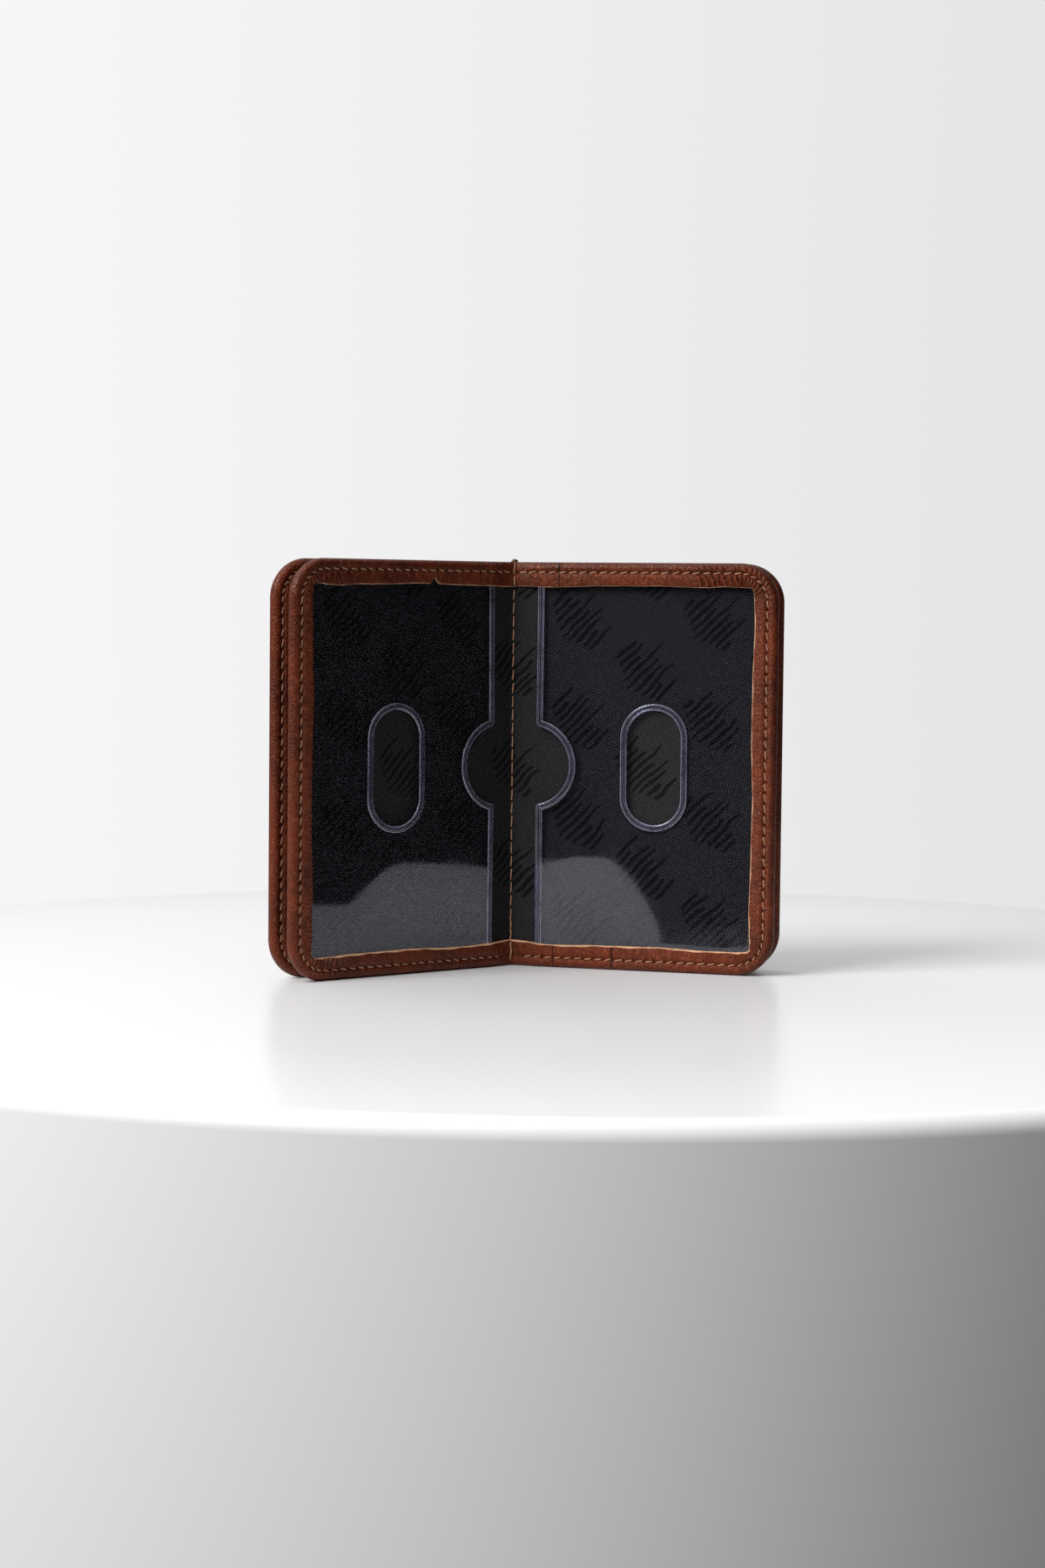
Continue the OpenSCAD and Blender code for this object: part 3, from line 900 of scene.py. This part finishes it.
def lining_strip(name, leaf, start, end):
    """A grid of lining cloth at one depth, with a slight sway, from start to end along the
    leaf. Towards the free edge its rows get shorter along the rounded corners. Its flat map
    is counted from the middle of the spine, so that the pattern runs on across the fold."""
    radius = CORNER_R - LINING_INSET
    far = LEAF_W - LINING_INSET
    over_fold = np.linspace(start, 0, 4)[:-1] if start < 0 else np.array([])
    last = far - radius + np.sin(np.linspace(0, math.pi / 2, 14)) * radius if end == far else [end]
    flat_end = min(end, far - radius)
    across = np.concatenate([over_fold, np.arange(max(start, 0), flat_end, 0.8), last])[:, None]
    into = np.maximum(across - (far - radius), 0)
    cut = LINING_INSET + radius - np.sqrt(np.maximum(radius ** 2 - into ** 2, 0))
    share = np.linspace(0, 1, 82)
    along = across + 0 * share
    height = cut + (LEAF_H - 2 * cut) * share
    sway = 0.05 * np.sin(along / 7 + leaf.side) * np.sin(height / 11)
    grown = leaf.swell(along)
    at_spine = leaf.spine[0] + (0.12 if leaf.outer else HEM_T)
    depth = at_spine + (leaf.full + LINING_DEEP - at_spine) * grown + sway * grown
    piece = add_piece(name, leaf.place(along, depth, height), grid_quads(*along.shape),
                      flat_map(leaf.side * (along + 1), height), [LINING],
                      mirrored=leaf.side < 0)
    thicken(piece, LINING_T)
    return piece


def make_lining(leaf):
    """Lining cloth from the middle of the spine to under the hem: one sheet on an inner
    leaf, and on an outer leaf a sheet with a small strip over the fold."""
    far = LEAF_W - LINING_INSET
    name = f"{leaf.name}_lining_cloth"
    if leaf.outer:
        near = lining_strip(f"{leaf.name}_lining_fold_cloth", leaf, -1.0, FOLD_END)
        cloth = lining_strip(name, leaf, FOLD_END, far)
        bend_near(near, leaf)
        bend_far(cloth, leaf)
        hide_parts("spine_outer_lining")
    else:
        cloth = lining_strip(name, leaf, -1.0, far)
        bend_near(cloth, leaf)
        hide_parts("spine_inner_lining")
    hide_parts(f"{leaf.name}_lining")


def slot_loop(grow, count):
    """A stadium round the push-out slot: two straights joined by half circles, as points
    counterclockwise from the right, evenly spaced by length."""
    radius, half = SLOT_W / 2 + grow, (SLOT_H - SLOT_W) / 2
    round_ = math.pi * radius
    total = 2 * round_ + 4 * half
    run = np.arange(count) / count * total
    legs = [half, half + round_, 3 * half + round_, 3 * half + 2 * round_]
    on_leg = [run < leg for leg in legs]
    along = np.select(
        on_leg,
        [radius + 0 * run, radius * np.cos((run - legs[0]) / radius), -radius + 0 * run,
         -radius * np.cos((run - legs[2]) / radius)], radius + 0 * run)
    height = np.select(
        on_leg,
        [run, half + radius * np.sin((run - legs[0]) / radius), half - (run - legs[1]),
         -half - radius * np.sin((run - legs[2]) / radius)], run - total)
    return SLOT_MIDDLE + along, LEAF_H / 2 + height


def mouth_line(mouth, grow, low, high, step):
    """The mouth of a pocket from low to high: straight, round the thumb notch, straight."""
    radius = NOTCH_R + grow
    centre = mouth - NOTCH_R + NOTCH_DEPTH
    edge = mouth + grow
    half = math.asin(min(1.0, math.sqrt(radius ** 2 - (edge - centre) ** 2) / radius))
    if edge < centre:
        half = math.pi - half
    reach = radius * math.sin(half)
    middle = LEAF_H / 2
    first = np.arange(low, middle - reach, step)
    turn = np.linspace(-half, half, int(2 * half * radius / step) + 2)
    last = high - np.arange(0, high - (middle + reach), step)[::-1]
    along = np.concatenate([edge + 0 * first, centre + radius * np.cos(turn), edge + 0 * last])
    height = np.concatenate([first, middle + radius * np.sin(turn), last])
    return along, height


def sheet_deep(along, height, leaf):
    """How deep the clear sheet lies. From under the hem it bulges forwards in the half next
    to the spine, and is pressed in near the bottom of the half next to the free edge."""
    t = (height - HEM_W) / (LEAF_H - 2 * HEM_W)
    bulge = smooth(t / 0.45) * smooth((1 - t) / 0.45)
    bulge = bulge * (0.8 + 0.2 * smooth((along - MOUTH) / 12))
    far = smooth((along - PRESSED_FROM[leaf.hand]) / 18)
    pressed = (1 - np.exp(-np.maximum(height - HEM_W, 0) / 13)) * (1 - smooth((height - 30) / 58))
    pressed = pressed * smooth((LEAF_W - SHEET_INSET - along) / 5)
    return SHEET_DEEP - BULGE[leaf.name] * bulge * (1 - far) + PRESSED * pressed * far


def outer_loop(mouth):
    """The sheet's outline, counterclockwise from the middle of its right side: rounded
    corners under the hem and the notched mouth on the left."""
    low, high = SHEET_INSET, LEAF_H - SHEET_INSET
    right, radius = LEAF_W - SHEET_INSET, CORNER_R - SHEET_INSET
    turn = np.linspace(0, math.pi / 2, 14)
    m_along, m_height = mouth_line(mouth, 0.0, low, high, 0.7)
    along = np.concatenate([
        [right], right - radius + radius * np.cos(turn), m_along[::-1],
        right - radius + radius * np.sin(turn), [right],
    ])
    height = np.concatenate([
        [LEAF_H / 2], high - radius + radius * np.sin(turn), m_height[::-1],
        low + radius - radius * np.cos(turn), [LEAF_H / 2],
    ])
    return along, height


def make_sheet(leaf, mouth):
    """Clear sheet: a ring of rows between the push-out slot and the notched outline."""
    count, rings = 420, 46
    m_along, m_height = outer_loop(mouth)
    gap = np.hypot(np.diff(m_along), np.diff(m_height))
    length = np.concatenate([[0], np.cumsum(gap)])
    even = np.linspace(0, length[-1], count, endpoint=False)
    out_along, out_height = np.interp(even, length, m_along), np.interp(even, length, m_height)
    # The slot's points are spaced so that rows run level to the notch and fan out elsewhere
    whole = length[-1]
    low, high = SHEET_INSET, LEAF_H - SHEET_INSET
    straight = high - LEAF_H / 2 - math.sqrt(NOTCH_R ** 2 - (NOTCH_R - NOTCH_DEPTH) ** 2)
    up = LEAF_H / 2 - CORNER_R
    corner = up + (CORNER_R - SHEET_INSET) * math.pi / 4
    top = corner * 2 - up + LEAF_W - CORNER_R - mouth
    marks = np.array([0.0, corner, top, top + straight, whole / 2])
    bearings = np.radians([0.0, 58.0, 102.0, 124.0, 180.0])
    marks = np.concatenate([marks, whole - marks[-2::-1]])
    bearings = np.concatenate([bearings, TURN - bearings[-2::-1]])
    facing = np.interp(even, marks, bearings)
    s_along, s_height = slot_loop(0.0, 2000)
    own = np.unwrap(np.arctan2(s_height - LEAF_H / 2, s_along - SLOT_MIDDLE))
    in_along = np.interp(facing, own, s_along)
    in_height = np.interp(facing, own, s_height)
    share = np.linspace(0, 1, rings)[:, None]
    along = in_along + (out_along - in_along) * share
    height = in_height + (out_height - in_height) * share
    depth = leaf.full + sheet_deep(along, height, leaf)
    flat = flat_map(along, height)
    piece = add_piece(f"{leaf.name}_clear_sheet", leaf.place(along, depth, height),
                      grid_quads(rings, count, around=True), flat, [SHEET],
                      mirrored=leaf.side > 0)
    thicken(piece, SHEET_T)
    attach(piece, leaf.name)
    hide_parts(f"{leaf.name}_pocket")


def bead_along(line, closed):
    """A bead carried along a line on the sheet: half an ellipse in front of it, closed by a
    flat. Gives along, height and how far each point stands in front, and its grid size."""
    along, height = line
    if closed:
        ahead = np.roll(along, -1) - np.roll(along, 1), np.roll(height, -1) - np.roll(height, 1)
    else:
        ahead = np.gradient(along), np.gradient(height)
    size = np.hypot(*ahead)
    across = -ahead[1] / size, ahead[0] / size
    turn = np.linspace(0, math.pi, 9)
    out = np.concatenate([BEAD_W / 2 * np.cos(turn), [-BEAD_W / 4, BEAD_W / 4]])
    stand = np.concatenate([BEAD_H * np.sin(turn) ** 0.8, [-0.04, -0.04]])
    return (along[:, None] + across[0][:, None] * out, height[:, None] + across[1][:, None] * out,
            stand + 0 * along[:, None], out)


def make_bead(leaf, mouth):
    """Welded bead round the sheet's slot and down its mouth."""
    low, high = HEM_W - 1.2, LEAF_H - HEM_W + 1.2
    parts = []
    for line, closed in ((slot_loop(BEAD_W / 2, 170), True),
                         (mouth_line(mouth, BEAD_W / 2, low, high, 0.6), False)):
        along, height, stand, across = bead_along(line, closed)
        if closed:
            along, height, stand = (np.concatenate([g, g[:1]]) for g in (along, height, stand))
        depth = leaf.full + sheet_deep(along, height, leaf) - stand
        parts.append((leaf.place(along, depth, height).reshape(-1, 3),
                      grid_quads(*along.shape, around=True),
                      flat_map(height, across + 0 * height).reshape(-1, 2)))
    piece = add_piece(f"{leaf.name}_clear_bead", *joined(parts), [BEAD], mirrored=leaf.side > 0)
    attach(piece, leaf.name)


def paint_board(leaf):
    """The stiffener board keeps its own shape and gets its finish."""
    board = frame["nodes"][f"{leaf.name}_board"]
    board.data.materials.clear()
    board.data.materials.append(BOARD)


# ---------------------------------------------------------------- thread

def stitch_row(middles, lengths, track, leans, sink=0.16, lift=0.15):
    """A row of stitches. Each is a tube that comes up out of one needle hole and goes down
    into the next: its centre line is a parabola over the leather, thinner at its ends.
    track gives a position, the way across the seam and the way out for a length run."""
    t = np.linspace(-1, 1, STITCH_RINGS)
    turn = np.arange(STITCH_SIDES) * 2 * math.pi / STITCH_SIDES
    run = middles[:, None] + lengths[:, None] / 2 * t
    centre, across, out = track(run)
    rise = lift - (lift + sink) * t ** 4
    lean = leans[:, None] * t
    centre = centre + across * lean[..., None] * MM + out * rise[None, :, None] * MM
    radius = THREAD_R * (1 - 0.35 * t ** 6) * MM
    around = (across[:, :, None, :] * np.cos(turn)[None, None, :, None]
              + out[:, :, None, :] * np.sin(turn)[None, None, :, None])
    points = centre[:, :, None, :] + around * radius[None, :, None, None]
    quads = grid_quads(STITCH_RINGS, STITCH_SIDES, around=True)
    each = STITCH_RINGS * STITCH_SIDES
    quads = (quads[None] + (np.arange(len(middles)) * each)[:, None, None]).reshape(-1, 4)
    flat = flat_map(*np.broadcast_arrays(run[:, :, None], turn * THREAD_TURN / math.pi / 2))
    return points.reshape(-1, 3), quads, flat.reshape(-1, 2)


def add_thread(name, rows, mirrored=False):
    """One piece of thread from several rows of stitches."""
    piece = add_piece(name, *joined(rows), [THREAD], mirrored=mirrored)
    return piece


def unit(vectors):
    """The vectors at length 1."""
    return vectors / np.linalg.norm(vectors, axis=-1, keepdims=True)


def make_seam(leaf, seed):
    """Lock stitches round the free edges, on the hem and on the back, slightly slanted."""
    along, height, out_along, out_height, run = edge_path(0.25)
    rng = np.random.default_rng(seed)

    def track(deep, outward):
        """The seam's line on the hem or on the back, at a depth."""
        def follow(where):
            e_along, e_height, n_along, n_height = (
                np.interp(where, run, line) for line in (along, height, out_along, out_height))
            depth = leaf.depth(e_along, deep)

            def at(inset, depth):
                return leaf.place(e_along - n_along * inset, depth, e_height - n_height * inset)

            middle = at(SEAM_INSET, depth)
            return (middle, unit(at(SEAM_INSET - 1, depth) - middle),
                    unit(at(SEAM_INSET, depth + outward) - middle))
        return follow

    first = FOLD_END + 0.4 if leaf.outer else 0.9
    middles = np.arange(math.ceil(first / STITCH_PITCH) + 0.5, (WHOLE_RUN - first) / STITCH_PITCH)
    middles = middles * STITCH_PITCH
    middles = middles[middles < WHOLE_RUN - 1 - first]
    rows = []
    for deep, outward in ((SEAM_SINK, -1.0), (LEAF_T - SEAM_SINK, 1.0)):
        jitter = rng.normal(0, 0.05, middles.size)
        lengths = rng.normal(STITCH_LENGTH, 0.14, middles.size)
        leans = rng.normal(0.2 * outward, 0.05, middles.size)
        rows.append(stitch_row(middles + jitter, lengths, track(deep, outward), leans))
    piece = add_thread(f"{leaf.name}_seam_stitches", rows, mirrored=leaf.side < 0)
    if leaf.outer:
        bend_far(piece, leaf)
    else:
        bend_near(piece, leaf)
    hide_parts(f"{leaf.name}_seam")


def make_spine_seam():
    """Lock stitches down the middle of the spine, on the front and the back, and a second
    row over the first few stitches at the bottom."""
    rng = np.random.default_rng(11)

    def track(outward):
        """The line down the spine's front or back, over the hems at both ends."""
        def follow(where):
            hem = np.maximum(1 - smooth((where - HEM_W + 0.3) / 0.6),
                             smooth((where - LEAF_H + HEM_W + 0.3) / 0.6))
            front = INNER_SPINE[0] + HEM_T * (1 - hem) - 0.05
            depth = front if outward < 0 else OUTER_SPINE[1] + 0 * where
            at = np.stack([0 * where, depth + HINGE_Y, where], axis=-1) * MM
            across = np.stack([1 + 0 * where, 0 * where, 0 * where], axis=-1)
            return at, across, np.stack([0 * where, outward + 0 * where, 0 * where], axis=-1)
        return follow

    middles = np.arange(1.2 + SPINE_PITCH / 2, LEAF_H - 1.2, SPINE_PITCH)
    rows = []
    for outward in (-1.0, 1.0):
        lengths = rng.normal(SPINE_PITCH * 0.86, 0.08, middles.size)
        leans = rng.normal(0.06, 0.03, middles.size)
        rows.append(stitch_row(middles, lengths, track(outward), leans, lift=0.12))
    piece = add_thread("spine_stitches", rows)
    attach(piece, "spine")
    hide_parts("spine_thread")

    again = middles[:3] + SPINE_PITCH * 0.42
    lean = np.array([-0.2, 0.22, -0.18])
    rows = [stitch_row(again, np.full(3, 2.7), track(-1.0), lean, lift=0.34)]
    piece = add_thread("spine_double_stitches", rows)
    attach(piece, "spine")
    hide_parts("spine_backtack")


def make_knot():
    """The thread's melted end: a lumpy drop, a sphere whose radius varies with its angles."""
    turn, rise = np.meshgrid(np.linspace(0, TURN, 24, endpoint=False),
                             np.linspace(-math.pi / 2, math.pi / 2, 15), indexing="xy")
    radius = 0.62 * (1 + 0.14 * np.sin(2 * turn + 1) * np.cos(rise) + 0.1 * np.sin(3 * rise + turn))
    radius = np.where(np.abs(rise) > 1.55, 0.62, radius)
    points = np.stack([
        radius * np.cos(turn) * np.cos(rise) * 1.25 + 0.1,
        radius * np.sin(turn) * np.cos(rise) + INNER_SPINE[0] + 0.5 + HINGE_Y,
        radius * np.sin(rise) * 0.9 + LEAF_H + 0.15,
    ], axis=-1) * MM
    flat = flat_map(turn * 10, rise * 10)
    piece = add_piece("spine_melted_end", points, grid_quads(15, 24, around=True), flat,
                      [MELTED], mirrored=True)
    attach(piece, "spine")
    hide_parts("spine_knot")


# ---------------------------------------------------------------- the stage


def make_plinth():
    """The floor: a round white top with a rounded edge, turned about a vertical axis."""
    sides = 180
    turn = np.linspace(0, math.pi / 2, 9)
    flat_r = PLINTH_R - PLINTH_EDGE_R
    radius = np.concatenate([[0.0, 0.09, 0.15], flat_r + PLINTH_EDGE_R * np.sin(turn),
                             [PLINTH_R, PLINTH_R]])
    level = np.concatenate([[0.0, 0.0, 0.0], PLINTH_EDGE_R * (np.cos(turn) - 1),
                            [-0.1, -PLINTH_DROP]])
    bearing = np.arange(sides) * 2 * math.pi / sides
    points = np.stack([
        radius[:, None] * np.cos(bearing) + PLINTH_AT[0],
        radius[:, None] * np.sin(bearing) + PLINTH_AT[1],
        level[:, None] + 0 * bearing,
    ], axis=-1)
    quads = grid_quads(len(radius), sides, around=True)
    piece = add_piece("plinth", points, quads, points[..., :2], [plinth_paint()])


def make_camera():
    """At the height of the upper part of the wallet, looking slightly down."""
    data = bpy.data.cameras.new("camera")
    data.lens = LENS
    data.sensor_width = 36.0
    data.clip_start = 0.01
    data.clip_end = 20.0
    camera = bpy.data.objects.new("camera", data)
    bpy.context.scene.collection.objects.link(camera)
    level = Vector(CAMERA_BEARING).normalized()
    look = level * math.cos(CAMERA_PITCH) + Vector((0, 0, -math.sin(CAMERA_PITCH)))
    turn = look.to_track_quat("-Z", "Y").to_matrix() @ Matrix.Rotation(CAMERA_ROLL, 3, "Z")
    camera.matrix_world = Matrix.Translation(CAMERA_AT) @ turn.to_4x4()
    bpy.context.scene.camera = camera


def add_light(name, at, aim, size, power):
    """A soft square light that faces the point aim."""
    data = bpy.data.lights.new(name, "AREA")
    data.shape = "SQUARE"
    data.size = size
    data.energy = power
    light = bpy.data.objects.new(name, data)
    light.location = at
    light.rotation_euler = (Vector(aim) - Vector(at)).to_track_quat("-Z", "Y").to_euler()
    bpy.context.scene.collection.objects.link(light)


def make_world():
    """A pale backdrop for the camera; for light and reflections a soft sky that is bright
    above and behind to the left, and dark to the front and the right."""
    f = Finish(bpy.data.worlds.new("studio"))
    x, y, z = f.numbers(f.node("TexCoord").outputs["Generated"], 3)
    above = (z - x * 0.35).ramp(0.35, 1.0)
    behind = (y * 0.7 - x * 0.7).ramp(0.0, 0.95)
    backdrop = y.ramp(0.2, 0.75) * z.ramp(-0.1, 0.05)
    light = above * SKY_ABOVE + behind * SKY_BEHIND + backdrop * SKY_BACKDROP + SKY_FLOOR
    # The backdrop that the camera sees is painted darker towards the right, as shade.
    pale = x.ramp(-0.25, 0.6, 0.99, 0.73)
    seen = Value(f, f.node("LightPath").outputs["Is Camera Ray"])
    background = f.node("Background", {
        "Color": (1.0, 1.0, 1.005, 1), "Strength": light * (1 - seen) + pale * seen,
    })
    bpy.context.scene.world = f.finished(background.outputs[0], "OutputWorld")


# ---------------------------------------------------------------- the whole scene

make_camera()
make_world()
add_light("key", (-0.95, -0.50, 0.91), (0, 0, 0.03), 0.7, 20.0)
add_light("front", (-0.4, -2.0, 0.4), (0, 0, 0), 0.7, 1.5)
make_plinth()

for number, leaf in enumerate(LEAVES):
    make_cover(leaf)
    make_lining(leaf)
    mouth = OUTER_MOUTH if leaf.outer else MOUTH
    make_sheet(leaf, mouth)
    make_bead(leaf, mouth)
    make_seam(leaf, seed=3 + number)
    paint_board(leaf)
make_spine_seam()
make_knot()

bpy.context.scene.view_settings.view_transform = "Standard"
